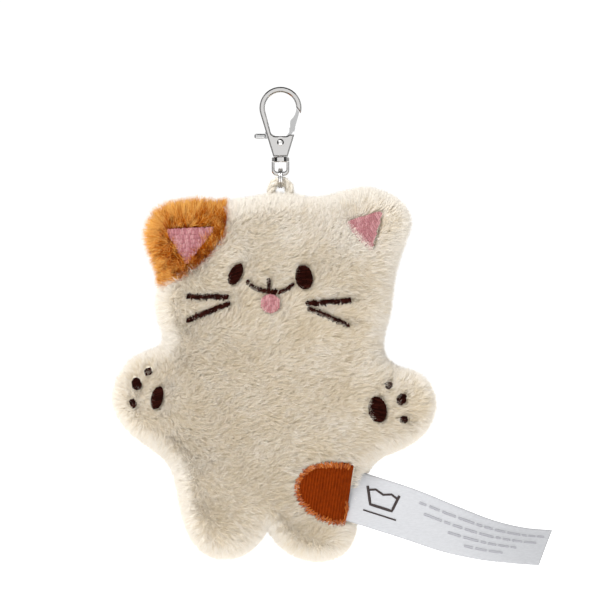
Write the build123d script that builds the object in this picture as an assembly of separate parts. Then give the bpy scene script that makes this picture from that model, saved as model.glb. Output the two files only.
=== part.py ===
from build123d import *
import math
import os

# Plush cat on a swivel trigger clasp. Millimetres, +Z up, hanging, front towards -Y.
# The origin is the centre of the hook's round seat.

# ---------------------------------------------------------------- clasp
SEAT_RADIUS = 5.2
HOOK_RADIUS = 7.0
CLASP_DEPTH = 3.2
CLASP_FOOT_Z = -16.2
CLASP_FOOT_HALF_WIDTH = 2.4
EYE_FLOOR_Z = -9.4
EYE_CORNER_RADIUS = 1.6
EYE_CORNER_X = 1.7
CHEEK_TOP_Z = -8.9
CLASP_EDGE_CHAMFER = 0.45
# The hook's cut tip, and the mouth that the gate closes, from the tip down to the cheeks.
TIP_INNER = (5.0, 0.45)
TIP_OUTER = (6.9, -2.0)
MOUTH_FAR_X = 10.0
MOUTH_FAR_Z = -5.0
MOUTH_INNER_X = 2.6

PIVOT_Z = -11.5
SLOT_WIDTH = 1.8
# The swept outlines of the lever's arm and tab between the cheeks, from closed to open.
SLOT_ARM = [(-1.0, -8.0), (3.75, -8.0), (3.55, -9.9), (2.0, -12.4), (0.0, -11.5)]
SLOT_TAB = [(-10.0, -7.7), (0.0, -7.7), (0.0, -12.6), (-2.0, -12.6), (-10.0, -17.2)]

LEVER_THICKNESS = 1.6
HUB_RADIUS = 1.9
HUB_CLEARANCE = 0.3
GATE_DEPTH = 2.6
GATE_CLEARANCE = 0.15
GATE_SEAT_GAP = 0.1
GATE_INNER_ANGLES = (-2.0, -14.0, -26.0, -38.0, -50.0)
GATE_INNER_FOOT = (3.2, -4.8)
GATE_OUTER_INSET = 0.75
GATE_STEP_LOW_Z = -7.9
GATE_STEP_HIGH_Z = -6.6
GATE_STEP_TOP_X = (2.95, 4.95)
GATE_STEP_FOOT_X = (2.95, 4.6)
GATE_STEP_PROUD = 0.3
# The lever's arm runs from the hub up to the gate's stepped foot.
LEVER_ARM = [(-0.5, -10.2), (1.7, -9.7), (2.9, -8.1), (3.2, -7.6), (4.4, -7.6), (3.1, -9.6), (1.8, -11.9),
             (0.0, -12.4)]
TAB_Z = -9.4
TAB_THICKNESS = 1.65
TAB_ROOT_X = -3.2
TAB_END_X = -9.0
TAB_SHOULDER_X = -5.2
TAB_SHOULDER_LENGTH = 0.7
TAB_SHOULDER_RISE = 0.3
TAB_SHOULDER_EXTRA = 0.75
TAB_DEPTH = 2.6
TAB_OVERLAP = 0.3

RIVET_RADIUS = 0.8
RIVET_HEAD_RADIUS = 1.75
RIVET_HEAD_SINK = 0.35
RIVET_DOME_RADIUS = 1.15
RIVET_DOME_HEIGHT = 0.45
RIVET_GROOVE = 0.12
RUNNING_CLEARANCE = 0.05
SEATED_CLEARANCE = 0.02

SPRING_WIRE = 0.22
SPRING_TURNS = 3
SPRING_PITCH = 0.187
SPRING_RIVET_GAP = 0.12
SPRING_FLOOR_GAP = 0.08
SPRING_POCKET_DEPTH = 0.75
SPRING_POCKET_WALL = 0.35

# ---------------------------------------------------------------- swivel, ring and cord
COLLAR_RADIUS = 3.0
COLLAR_TOP_Z = -16.35
COLLAR_FOOT_Z = -18.1
COLLAR_CHAMFER = 0.25
STEM_RADIUS = 1.05
STEM_ROOT = 0.5
STEM_HEAD_RADIUS = 1.7
STEM_HEAD_HEIGHT = 0.55
STEM_HEAD_GAP = 0.1
EYE_WIRE = 0.95
EYE_DEPTH = 1.5
EYE_OUTER_RADIUS = 1.9
EYE_INNER_RADIUS = 0.8
EYE_CHAMFER = 0.35
EYE_SHOULDER_RISE = 0.4
EYE_HALF_WIDTH = 2.93
EYE_BAR_TOP_Z = -21.2
EYE_BAR_HEIGHT = 1.4

RING_WIRE = 0.8
RING_MEAN_RADIUS = 3.1
RING_BOTTOM_Z = -26.8
RING_TURN_OVERLAP = 0.04

CORD_DIAMETER = 2.8
CORD_BEND_RADIUS = 3.0
CORD_BEND_CENTRE_Z = -27.3
CORD_ROOT_Z = -34.5

# ---------------------------------------------------------------- plush
# Outline of the plush, clockwise from the middle of the head's top seam.
OUTLINE = [
    (6.5, -30.0), (17.0, -30.0), (23.6, -27.9), (30.0, -27.3), (37.0, -29.8), (42.0, -34.0),
    (42.6, -39.0), (40.2, -45.6), (37.2, -56.0), (36.0, -67.0), (33.6, -76.5), (33.6, -83.0),
    (38.6, -87.4), (45.3, -88.9), (50.0, -93.2), (51.4, -99.0), (49.6, -105.2), (45.0, -110.6),
    (37.0, -114.1), (30.6, -117.4), (27.8, -122.0), (26.2, -131.0), (24.6, -140.5),
    (21.8, -147.4), (15.5, -150.4), (7.5, -149.9), (0.4, -145.8), (-4.2, -142.0),
    (-8.8, -145.8), (-15.0, -149.6), (-22.0, -149.6), (-28.2, -145.2), (-31.8, -137.5),
    (-33.8, -127.5), (-36.2, -118.6), (-41.6, -113.6), (-48.2, -109.2), (-53.6, -103.4),
    (-56.0, -96.6), (-53.6, -89.8), (-49.4, -84.0), (-43.8, -81.6), (-38.4, -80.6),
    (-38.6, -74.0), (-41.2, -68.0), (-40.8, -61.0), (-41.2, -54.0), (-44.6, -47.0),
    (-45.2, -40.0), (-42.6, -33.8), (-36.0, -31.0), (-28.0, -29.9), (-18.0, -31.2),
    (-8.0, -30.2),
]
OUTLINE_FACETS = 120
# From the seam outwards on each side: the height of a layer and how far its edge draws in.
LAYERS = [(5.5, 1.4), (4.0, 2.6), (2.3, 3.4)]
PLUSH_THICKNESS = 2.2
# The orange corner of the head, with the left ear.
CORNER_PATCH = [
    (-17.4, -20.0), (-17.4, -37.3), (-18.7, -44.7), (-24.5, -51.3), (-29.5, -54.7),
    (-35.7, -59.0), (-60.0, -61.0), (-60.0, -20.0),
]

EMBROIDERY_HEIGHT = 0.7
PATCH_HEIGHT = 1.0
BORDER_HEIGHT = 1.3
BORDER_WIDTH = 1.9
PATCH_FACETS = 24
STROKE_WIDTH = 1.1

EYES = {"eye_left": (-14.7, -55.5, 7.4, 3.8, 65.0), "eye_right": (7.7, -56.5, 8.0, 5.2, 100.0)}
EAR_LININGS = {
    "ear_lining_left": [(-36.7, -41.4), (-22.7, -40.8), (-30.9, -51.2)],
    "ear_lining_right": [(22.4, -38.9), (32.7, -35.6), (29.4, -46.8)],
}
NOSE = [(-3.8, -57.4), (-3.8, -61.2)]
MOUTH = [(-10.8, -58.0), (-8.4, -60.2), (-3.8, -61.2), (0.6, -61.2), (3.8, -59.0)]
TONGUE = (-3.3, -65.2, 6.5, 6.0)
WHISKERS = {
    "whiskers_left": [[(-30.3, -62.8), (-17.7, -63.0)], [(-30.3, -70.6), (-17.2, -65.3)]],
    "whiskers_right": [[(8.8, -65.2), (22.9, -64.2)], [(9.1, -66.8), (22.1, -72.3)]],
}
# Centre x, centre z, width, height and lean of each pad: the palm first, then the toes.
PAW_PADS = {
    "paw_pads_left": [
        (-40.6, -96.2, 3.6, 7.6, -12.0), (-43.6, -87.6, 2.4, 2.6, 0.0),
        (-47.4, -91.6, 2.8, 4.2, 20.0), (-48.6, -98.0, 1.8, 3.0, 25.0),
    ],
    "paw_pads_right": [
        (31.9, -100.0, 5.6, 8.6, 8.0), (35.6, -92.0, 2.4, 2.4, 0.0),
        (39.9, -96.6, 2.7, 3.7, -25.0), (40.6, -103.4, 2.2, 2.6, -20.0),
    ],
}
HIP_PATCH_EDGE = [(24.2, -118.7), (21.4, -138.0)]
HIP_PATCH_ROUND = [(16.8, -137.5), (8.2, -132.6), (4.8, -126.0), (8.0, -119.8), (14.4, -117.6)]

# ---------------------------------------------------------------- label
LABEL_Y = -6.0
LABEL_TOP = [(26.6, -121.6), (43.4, -126.1), (58.2, -132.0), (70.5, -136.9), (81.0, -139.7), (90.8, -140.9)]
LABEL_FOOT = [(85.3, -151.4), (69.2, -150.6), (52.0, -146.5), (39.7, -142.5), (23.9, -137.9)]
LABEL_THICKNESS = 0.5


def upright(sketch, y):
    """Stand a sketch drawn in XY up in the XZ plane at depth y, its face towards -Y."""
    return Plane(origin=(0, y, 0), x_dir=(1, 0, 0), z_dir=(0, -1, 0)) * sketch


def plate(sketch, depth, middle=0.0):
    """A plate with the sketch as its front, of the given depth, centred on y = middle."""
    return extrude(upright(sketch, middle + depth / 2), amount=depth)


def outline_face(points):
    return make_face(Polyline(*points, close=True))


def facet(curve, count):
    """Points along a curve, evenly spaced from its start and short of its end."""
    return [curve @ (i / count) for i in range(count)]


def ellipse_at(x, z, width, height, lean=0.0):
    return Pos(x, z) * Rot(0, 0, lean) * Ellipse(width / 2, height / 2)


def stroke(points, width):
    """A stitched line of even width with round ends."""
    if len(points) > 2:
        path = Spline(*points)
    else:
        path = Line(*points)
    samples = [path @ (i / 12) for i in range(13)]
    runs = [
        make_hull((Pos(a) * Circle(width / 2)).edges() + (Pos(b) * Circle(width / 2)).edges())
        for a, b in zip(samples[:-1], samples[1:])
    ]
    return Sketch() + runs


# ---------------------------------------------------------------- clasp pieces
def teardrop():
    foot = Line((-CLASP_FOOT_HALF_WIDTH, CLASP_FOOT_Z), (CLASP_FOOT_HALF_WIDTH, CLASP_FOOT_Z))
    return make_hull(Circle(HOOK_RADIUS).edges() + [foot.edge()])


def hook_opening():
    corners = [Pos(side * EYE_CORNER_X, EYE_FLOOR_Z + EYE_CORNER_RADIUS) * Circle(EYE_CORNER_RADIUS)
               for side in (-1, 1)]
    return make_hull(Circle(SEAT_RADIUS).edges() + corners[0].edges() + corners[1].edges())


def gate_gap():
    return outline_face([
        TIP_INNER, TIP_OUTER, (MOUTH_FAR_X, MOUTH_FAR_Z), (MOUTH_FAR_X, CHEEK_TOP_Z),
        (MOUTH_INNER_X, CHEEK_TOP_Z), (MOUTH_INNER_X, 0.0),
    ])


def lever_slot():
    """The space between the cheeks that the lever needs from closed to open."""
    hub = Pos(0, PIVOT_Z) * Circle(HUB_RADIUS + HUB_CLEARANCE)
    return hub + outline_face(SLOT_ARM) + outline_face(SLOT_TAB)


def make_clasp_body():
    frame = plate(teardrop() - hook_opening() - gate_gap(), CLASP_DEPTH)
    front_edges = frame.faces().sort_by(Axis.Y)[0].outer_wire().edges()
    back_edges = frame.faces().sort_by(Axis.Y)[-1].outer_wire().edges()
    frame = chamfer(front_edges + back_edges, CLASP_EDGE_CHAMFER)
    frame -= plate(lever_slot(), SLOT_WIDTH)
    pivot = Pos(0, 0, PIVOT_Z) * Rot(90, 0, 0)
    frame -= pivot * Cylinder(RIVET_RADIUS + SEATED_CLEARANCE, CLASP_DEPTH * 2)
    sink = Cylinder(RIVET_HEAD_RADIUS + RIVET_GROOVE, 2 * RIVET_HEAD_SINK)
    for side in (-1, 1):
        frame -= Pos(0, side * CLASP_DEPTH / 2, 0) * pivot * sink
    stem_top = CLASP_FOOT_Z + STEM_ROOT
    stem_foot = COLLAR_FOOT_Z
    stem = Pos(0, 0, (stem_top + stem_foot) / 2) * Cylinder(STEM_RADIUS, stem_top - stem_foot)
    head = Pos(0, 0, stem_foot + STEM_HEAD_HEIGHT / 2) * Cylinder(STEM_HEAD_RADIUS, STEM_HEAD_HEIGHT)
    return frame + stem + head


def gate_profile():
    """The gate hugs the seat's circle, then drops to its stepped foot; its top follows the hook's tip."""
    radius = SEAT_RADIUS + GATE_SEAT_GAP
    angles = [math.radians(angle) for angle in GATE_INNER_ANGLES]
    inner = [(radius * math.cos(a), radius * math.sin(a)) for a in angles]
    outer_x = HOOK_RADIUS - GATE_OUTER_INSET
    tip_slope = (TIP_OUTER[1] - TIP_INNER[1]) / (TIP_OUTER[0] - TIP_INNER[0])
    tip_z = TIP_INNER[1] + tip_slope * (outer_x - TIP_INNER[0]) - 2 * GATE_CLEARANCE
    foot = [GATE_INNER_FOOT, (GATE_INNER_FOOT[0], GATE_STEP_HIGH_Z)]
    outer = [(GATE_STEP_TOP_X[1] - GATE_CLEARANCE, GATE_STEP_HIGH_Z), (outer_x, tip_z)]
    return outline_face(inner + foot + outer)


def thumb_tab():
    length = TAB_SHOULDER_X - TAB_END_X
    thumb = Box(length, TAB_DEPTH, TAB_THICKNESS)
    thumb = fillet(thumb.edges(), TAB_THICKNESS / 2 - 0.2)
    return Pos(TAB_END_X + length / 2 + TAB_OVERLAP, 0, TAB_Z) * thumb


def lever_profile():
    """The thin middle layer: hub, arm, the tab's root and the shoulder behind the thumb tab."""
    hub = Pos(0, PIVOT_Z) * Circle(HUB_RADIUS)
    half = TAB_THICKNESS / 2
    root = outline_face([(-0.5, -12.0), (TAB_ROOT_X, TAB_Z - half), (TAB_ROOT_X, TAB_Z + half), (-0.5, -9.9)])
    tab_start = TAB_SHOULDER_X + TAB_OVERLAP
    tab_end = TAB_ROOT_X + TAB_OVERLAP
    tab = Pos((tab_start + tab_end) / 2, TAB_Z) * Rectangle(tab_end - tab_start, TAB_THICKNESS)
    shoulder = Pos(TAB_SHOULDER_X + TAB_SHOULDER_LENGTH / 2, TAB_Z + TAB_SHOULDER_RISE)
    shoulder *= Rectangle(TAB_SHOULDER_LENGTH, TAB_THICKNESS + TAB_SHOULDER_EXTRA)
    return hub + outline_face(LEVER_ARM) + root + tab + shoulder


def make_gate_lever():
    step_top, step_foot = GATE_STEP_TOP_X, GATE_STEP_FOOT_X
    step = outline_face([(step_top[0], GATE_STEP_HIGH_Z), (step_top[1], GATE_STEP_HIGH_Z),
                         (step_foot[1], GATE_STEP_LOW_Z), (step_foot[0], GATE_STEP_LOW_Z)])
    lever = plate(lever_profile(), LEVER_THICKNESS)
    lever += plate(gate_profile(), GATE_DEPTH)
    lever += plate(step, GATE_DEPTH + GATE_STEP_PROUD)
    lever += thumb_tab()
    pivot = Pos(0, 0, PIVOT_Z) * Rot(90, 0, 0)
    lever -= pivot * Cylinder(RIVET_RADIUS + RUNNING_CLEARANCE, CLASP_DEPTH)
    pocket = Cylinder(HUB_RADIUS - SPRING_POCKET_WALL, 2 * SPRING_POCKET_DEPTH)
    return lever - Pos(0, LEVER_THICKNESS / 2, 0) * pivot * pocket


def make_gate_rivet():
    shank = Cylinder(RIVET_RADIUS, CLASP_DEPTH)
    rivet = Rot(90, 0, 0) * shank
    for side in (-1, 1):
        head_middle = side * (CLASP_DEPTH / 2 - RIVET_HEAD_SINK / 2)
        rivet += Pos(0, head_middle, 0) * Rot(90, 0, 0) * Cylinder(RIVET_HEAD_RADIUS, RIVET_HEAD_SINK)
        dome_start = side * CLASP_DEPTH / 2
        ball = (RIVET_DOME_RADIUS ** 2 + RIVET_DOME_HEIGHT ** 2) / (2 * RIVET_DOME_HEIGHT)
        dome = Pos(0, dome_start + side * (RIVET_DOME_HEIGHT - ball), 0) * Sphere(ball)
        dome &= Pos(0, dome_start + side * ball / 2, 0) * Box(4 * ball, ball, 4 * ball)
        rivet += dome
    return Pos(0, 0, PIVOT_Z) * rivet


def make_gate_spring():
    """Close turns round the rivet, in the pocket of the lever's hub."""
    turn_radius = RIVET_RADIUS + SPRING_RIVET_GAP + SPRING_WIRE / 2
    first_y = LEVER_THICKNESS / 2 - SPRING_POCKET_DEPTH + SPRING_WIRE / 2 + SPRING_FLOOR_GAP
    spring = Part()
    for turn in range(SPRING_TURNS):
        place = Pos(0, first_y + turn * SPRING_PITCH, PIVOT_Z) * Rot(90, 0, 0)
        spring += place * Torus(turn_radius, SPRING_WIRE / 2)
    return spring


# ---------------------------------------------------------------- swivel, ring and cord
def eye_loop():
    """The flat loop under the collar, with a bar at its foot for the ring."""
    bar_foot_z = EYE_BAR_TOP_Z - EYE_BAR_HEIGHT
    shoulder_z = COLLAR_FOOT_Z + EYE_SHOULDER_RISE
    corner_x = EYE_HALF_WIDTH - EYE_OUTER_RADIUS
    corners = [Pos(side * corner_x, bar_foot_z + EYE_OUTER_RADIUS) * Circle(EYE_OUTER_RADIUS)
               for side in (-1, 1)]
    shoulders = Line((-EYE_HALF_WIDTH, shoulder_z), (EYE_HALF_WIDTH, shoulder_z))
    outer = make_hull([shoulders.edge(), *corners[0].edges(), *corners[1].edges()])
    hole_width = 2 * (EYE_HALF_WIDTH - EYE_WIRE)
    hole_height = COLLAR_FOOT_Z - EYE_BAR_TOP_Z
    hole = RectangleRounded(hole_width, hole_height, EYE_INNER_RADIUS)
    hole = Pos(0, (COLLAR_FOOT_Z + EYE_BAR_TOP_Z) / 2) * hole
    hole += Pos(0, COLLAR_FOOT_Z - hole_height / 4) * Rectangle(hole_width, hole_height / 2)
    loop = plate(outer - hole, EYE_DEPTH)
    rims = loop.faces().filter_by(Axis.Y).edges()
    return chamfer([edge for edge in rims if edge.center().Z < COLLAR_FOOT_Z - 0.01], EYE_CHAMFER)


def make_swivel_eye():
    height = COLLAR_TOP_Z - COLLAR_FOOT_Z
    middle = Pos(0, 0, (COLLAR_TOP_Z + COLLAR_FOOT_Z) / 2)
    collar = middle * Cylinder(COLLAR_RADIUS, height)
    collar = chamfer(collar.edges().filter_by(GeomType.CIRCLE), COLLAR_CHAMFER)
    bore = middle * Cylinder(STEM_RADIUS + RUNNING_CLEARANCE, 4 * height)
    head_top_z = COLLAR_FOOT_Z + STEM_HEAD_HEIGHT + STEM_HEAD_GAP
    head_room = Cylinder(STEM_HEAD_RADIUS + STEM_HEAD_GAP, height)
    return collar + eye_loop() - bore - Pos(0, 0, head_top_z - height / 2) * head_room


def make_split_ring():
    centre_z = RING_BOTTOM_Z + RING_WIRE / 2 + RING_MEAN_RADIUS
    shift = (RING_WIRE - RING_TURN_OVERLAP) / 2
    ring = Part()
    for side in (-1, 1):
        ring += Pos(side * shift, 0, centre_z) * Rot(0, 90, 0) * Torus(RING_MEAN_RADIUS, RING_WIRE / 2)
    return ring


def make_cord_loop():
    left = (-CORD_BEND_RADIUS, CORD_ROOT_Z)
    right = (CORD_BEND_RADIUS, CORD_ROOT_Z)
    path = Plane.XZ * (
        Line(left, (-CORD_BEND_RADIUS, CORD_BEND_CENTRE_Z))
        + CenterArc((0, CORD_BEND_CENTRE_Z), CORD_BEND_RADIUS, 180, -180)
        + Line((CORD_BEND_RADIUS, CORD_BEND_CENTRE_Z), right)
    )
    start = Plane(origin=(left[0], 0, left[1]), z_dir=(0, 0, 1))
    return sweep(start * Circle(CORD_DIAMETER / 2), path=path)


# ---------------------------------------------------------------- plush pieces
def plush_outline():
    return outline_face(facet(Spline(*OUTLINE, periodic=True), OUTLINE_FACETS))


def half_body(section, scale=1.0):
    """The front half of the body: layers from the seam plane outwards, each drawn in at its edge."""
    half = Part()
    y = 0.0
    for height, draw_in in LAYERS:
        taper = math.degrees(math.atan2(draw_in, height))
        half += extrude(upright(section, y), amount=height * scale, taper=taper)
        y -= height * scale
        section = offset(section, amount=-draw_in * scale, kind=Kind.INTERSECTION)
    return half


def to_back(shape):
    return mirror(shape, about=Plane.XZ)


def through(sketch):
    """A prism that covers the sketch over the whole thickness of the body."""
    return plate(sketch, 4 * sum(height for height, _ in LAYERS))


def cord_channels():
    length = CORD_BEND_CENTRE_Z - CORD_ROOT_Z
    leg = Cylinder(CORD_DIAMETER / 2, length)
    middle_z = (CORD_BEND_CENTRE_Z + CORD_ROOT_Z) / 2
    return Pos(-CORD_BEND_RADIUS, 0, middle_z) * leg + Pos(CORD_BEND_RADIUS, 0, middle_z) * leg


def make_body(outer, inner):
    """The four panels of the skin and the stuffing that they hold."""
    skin = outer - inner - cord_channels()
    corner = through(outline_face(CORNER_PATCH))
    cream = skin - corner
    orange = skin & corner
    filling = (inner + to_back(inner)) - cord_channels()
    return {
        "front_panel": cream,
        "back_panel": to_back(cream),
        "ear_panel_front": orange,
        "ear_panel_back": to_back(orange),
        "stuffing": filling,
    }


def raised(half, height, sketch):
    """A piece of the given height that lies on the front of the body and has the sketch's outline."""
    return (Pos(0, -height, 0) * half & through(sketch)) - half


def rounded_triangle(corners, radius=0.8):
    return make_hull([edge for x, z in corners for edge in (Pos(x, z) * Circle(radius)).edges()])


def make_face_stitching(half):
    strokes = {"nose_and_mouth": [NOSE, MOUTH], **WHISKERS}
    shapes = {name: ellipse_at(*eye) for name, eye in EYES.items()}
    shapes |= {name: rounded_triangle(corners) for name, corners in EAR_LININGS.items()}
    for name, lines in strokes.items():
        shapes[name] = Sketch() + [stroke(line, STROKE_WIDTH) for line in lines]
    shapes["tongue"] = ellipse_at(*TONGUE)
    return {name: raised(half, EMBROIDERY_HEIGHT, shape) for name, shape in shapes.items()}


def make_paw_pads(half):
    return {name: raised(half, EMBROIDERY_HEIGHT, Sketch() + [ellipse_at(*pad) for pad in pads])
            for name, pads in PAW_PADS.items()}


def make_hip_patch(half):
    round_side = Spline(HIP_PATCH_EDGE[1], *HIP_PATCH_ROUND, HIP_PATCH_EDGE[0])
    whole = outline_face([HIP_PATCH_EDGE[0], *facet(round_side, PATCH_FACETS)])
    drawn_in = offset(whole, amount=-BORDER_WIDTH, kind=Kind.INTERSECTION)
    middle = drawn_in + (whole & Pos(2 * BORDER_WIDTH, 0) * drawn_in)
    return {
        "hip_patch": raised(half, PATCH_HEIGHT, middle),
        "patch_border_stitching": raised(half, BORDER_HEIGHT, whole - middle),
    }


def make_care_label():
    top = Spline(*LABEL_TOP)
    end = Line(LABEL_TOP[-1], LABEL_FOOT[0])
    foot = Spline(*LABEL_FOOT)
    root = Line(LABEL_FOOT[-1], LABEL_TOP[0])
    return plate(make_face([top.edge(), end.edge(), foot.edge(), root.edge()]), LABEL_THICKNESS, LABEL_Y)


def main():
    outline = plush_outline()
    outer = half_body(outline)
    inner_scale = 1.0 - PLUSH_THICKNESS / sum(height for height, _ in LAYERS)
    inner = half_body(offset(outline, amount=-PLUSH_THICKNESS, kind=Kind.INTERSECTION), inner_scale)
    pieces = {
        "clasp_body": make_clasp_body(),
        "gate_lever": make_gate_lever(),
        "gate_rivet": make_gate_rivet(),
        "gate_spring": make_gate_spring(),
        "swivel_eye": make_swivel_eye(),
        "split_ring": make_split_ring(),
        "cord_loop": make_cord_loop(),
        **make_body(outer, inner),
        **make_face_stitching(outer),
        **make_paw_pads(outer),
        **make_hip_patch(outer),
        "care_label": make_care_label(),
    }
    os.makedirs("parts", exist_ok=True)
    for name, shape in pieces.items():
        export_step(shape, f"parts/{name}.step")


main()
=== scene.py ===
import math

import bmesh
import bpy
import numpy as np
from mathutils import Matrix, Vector
from mathutils.bvhtree import BVHTree


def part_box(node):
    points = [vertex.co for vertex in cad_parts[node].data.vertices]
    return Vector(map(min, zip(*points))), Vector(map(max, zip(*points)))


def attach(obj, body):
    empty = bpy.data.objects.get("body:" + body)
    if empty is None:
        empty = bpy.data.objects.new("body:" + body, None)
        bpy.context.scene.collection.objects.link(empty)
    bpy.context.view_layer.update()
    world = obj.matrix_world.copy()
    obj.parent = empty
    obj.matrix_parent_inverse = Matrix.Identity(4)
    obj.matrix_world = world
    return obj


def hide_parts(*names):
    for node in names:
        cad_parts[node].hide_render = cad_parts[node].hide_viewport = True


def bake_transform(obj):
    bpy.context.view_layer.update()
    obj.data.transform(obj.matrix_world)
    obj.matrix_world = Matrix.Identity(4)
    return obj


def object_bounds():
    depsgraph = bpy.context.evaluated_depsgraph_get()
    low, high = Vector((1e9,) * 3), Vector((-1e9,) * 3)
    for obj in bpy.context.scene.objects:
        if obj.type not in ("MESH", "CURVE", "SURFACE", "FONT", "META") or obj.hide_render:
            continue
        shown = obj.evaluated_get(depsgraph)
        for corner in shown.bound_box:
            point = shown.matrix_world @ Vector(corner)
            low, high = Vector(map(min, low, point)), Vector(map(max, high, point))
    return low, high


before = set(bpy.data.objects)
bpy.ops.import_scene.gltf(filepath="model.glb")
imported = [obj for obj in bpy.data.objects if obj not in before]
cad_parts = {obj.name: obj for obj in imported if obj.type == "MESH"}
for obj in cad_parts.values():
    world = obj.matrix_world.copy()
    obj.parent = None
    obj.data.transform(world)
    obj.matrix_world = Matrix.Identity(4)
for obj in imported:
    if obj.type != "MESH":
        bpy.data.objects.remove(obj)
CAD_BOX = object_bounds()
MM = 0.001

# -------------------- driving sizes, metres unless said otherwise
# Camera: the width of the view at the toy, its centre as (x, z), and the lens and sensor in millimetres.
VIEW_WIDTH = 196.7 * MM
VIEW_CENTRE = (4.83 * MM, -62.3 * MM)
LENS = 150.0
SENSOR_WIDTH = 36.0
VIEW_DISTANCE = VIEW_WIDTH * LENS / SENSOR_WIDTH
# A distance beyond every piece, from which rays are cast along Y.
FAR = 1.0

# Studio: the floor, and the world's strength as it is seen and as diffuse surfaces receive it.
FLOOR_DROP = 0.035
FLOOR_REACH = 2.6
FLOOR_GLOW = 0.75
BACKDROP_LIGHT = 1.05
AMBIENT_LIGHT = 0.55
# Each lamp: name, place, size, watts.
LAMPS = [
    ("key", (-0.45, -0.7, 0.78), 0.5, 3.0),
    ("fill", (0.75, -0.6, 0.1), 0.6, 0.4),
    ("top", (-0.26, -0.42, 0.42), 0.4, 3.4),
]
# Dark cards beside and over the clasp, for its metal to reflect. The side cards are black up to FLAG_SPLIT
# in y and grey behind it, so that the clasp isn't black when it is seen from the side.
FLAG_AWAY = 0.11
FLAG_REACH = 0.12
FLAG_SPLIT = -0.02
FLAG_BLACK = 0.04
FLAG_GREY = 0.32

# Skin under the pile: how far inside the panels it lies, its grid, and how much it is smoothed.
PILE_ROOM = 1.3 * MM
EAR_PILE_ROOM = 3.3 * MM
SKIN_VOXEL = 2.5 * MM
SMOOTHING = 0.5
GRID_PASSES = 3
SWELL_PASSES = 2
ROUNDING_PASSES = 12
# Stuffing: how far it pushes the skin at its fullest, the share of the push that goes sideways, and the
# cloth simulation's own settings.
SWELL = 4.2 * MM
SIM_SIDEWAYS = 0.15
SIM_SCALE = 10.0
SIM_FRAMES = 20
SIM_PRESSURE = 4.0
SIM_STIFFNESS = 12
SIM_BENDING = 0.4
# Cleft between the feet, and how far from the middle and how closely its top is looked for.
CLEFT_DEPTH = 5.0 * MM
CLEFT_WIDTH = 3.2 * MM
CLEFT_REACH = 9.0 * MM
CLEFT_SEARCH = 10 * MM
CLEFT_STEP = 0.5 * MM
# Dimples round the stitching; skin that is PINCH_FULL in front of the seam takes the whole depth.
PINCH_DEPTH = 1.5 * MM
PINCH_REACH = 3.6 * MM
PINCH_FULL = 8 * MM

# Pile: the strands' sizes, and how many triangles a piece of it may have.
PILE_LENGTH = 3.5 * MM
EAR_PILE_LENGTH = 5.0 * MM
STRAND_WIDTH = 0.14 * MM
STRANDS_PER_MM2 = 19.0
PIECE_TRIANGLES = 190000
# A strand's form: how it thins, the radians it may be rolled by, its curl, and how it bows as it rises.
STRAND_TAPER = 0.88
TAPER_POWER = 1.8
STRAND_ROLL = 1.05
STRAND_CURL = 0.10
RISE_BOW = 0.3
RUN_BOW = 0.45
# Its lift, the sine of the angle at which it stands, and the least share of its slant kept at a parting.
LIFT = 0.68
LIFT_SPECKLE = 0.05
LIFT_RIM = 0.2
LIFT_SCATTER = 0.10
LIFT_LIMITS = (0.25, 0.95)
LEAST_SLANT = 0.65
# Its lie: degrees above the rightward direction, and the degrees by which a slow and a fine random field
# turn it; then the share of the outward lie at the rim and round the ear linings, and the scatter.
LIE = 14
LIE_RIGHTWARD = (1.0, -0.15, 0.0)
LIE_DRIFT = 13
LIE_FINE = 11
RIM_GAIN = 1.8
RIM_SHARE = 0.75
LINING_SHARE = 0.4
LINING_REACH = 13 * MM
LIE_SCATTER = 0.24
# Its tone, in steps up from the darkest, and what is added for random patches and specks, for a painted
# highlight on the crown over CROWN_START of the height and at the rim, and for paler tones painted over the
# shade at partings.
TONE = 1.6
TONE_PATCHES = 0.25
TONE_SPECKS = 0.3
CROWN_PAINTED_LIGHT = 1.2
CROWN_START = 0.75
RIM_PAINTED_LIGHT = 2.2
PARTING_PAINTED_LIGHT = 2.0
TONE_SCATTER = 0.5
# What the orange ear adds to that; it is painted palest at its outer edge, a painted highlight on the rim.
EAR_TONE = -0.5
EAR_TONE_SPECKS = 0.6
EAR_EDGE_PAINTED_LIGHT = 4.2
EAR_EDGE_WIDTH = 0.2
# Tones from dark to pale; the paler ones carry random tone and also the painted highlights and the
# painted-over shade.
CREAM_TONES = ["D6C6A8", "DDCFB5", "E4D8C2", "EBE2D3", "F2ECE2"]
ORANGE_TONES = ["863606", "9C4404", "AE5608", "CA781C", "E6AE5C"]
# Each coat: name, strand length, its shortest share, tones, how strongly it tufts, cuts in a strand, gloss.
COATS = [
    ("cream", PILE_LENGTH, 0.75, CREAM_TONES, 0.2, 2, 0.3),
    ("orange", EAR_PILE_LENGTH, 0.55, ORANGE_TONES, 0.8, 3, 0.03),
]

# Nodes stitched to the pile, how much the strands beside them are trimmed, and how far they lean away.
STITCHING = [
    (("eye_left", "eye_right", "nose_and_mouth", "tongue", "whiskers_left", "whiskers_right"), 0.35, 0.1),
    (("hip_patch", "patch_border_stitching"), 0.22, 0.3),
    (("paw_pads_left", "paw_pads_right"), 0.25, 0.15),
    (("ear_lining_left", "ear_lining_right"), 0.0, 0.0),
]
STITCH_REACH = 3.0 * MM
STITCH_MARGIN = 0.15 * MM
# Strands whose normal's y is over this grow on the back and aren't near any stitching.
BACK_FACING = 0.35

# Embroidery: a stitch's radius, arch, cuts and dip at its ends in radii, the shortest one in radii, the
# distance between rows, and the outline's search step.
STITCH_RADIUS = 0.21 * MM
STITCH_ARCH = 0.12 * MM
STITCH_CUTS = 6
STITCH_DIP = 1.2
STITCH_SHORTEST = 2.5
ROW_SPACING = 0.34 * MM
OUTLINE_STEP = 0.12 * MM
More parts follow.
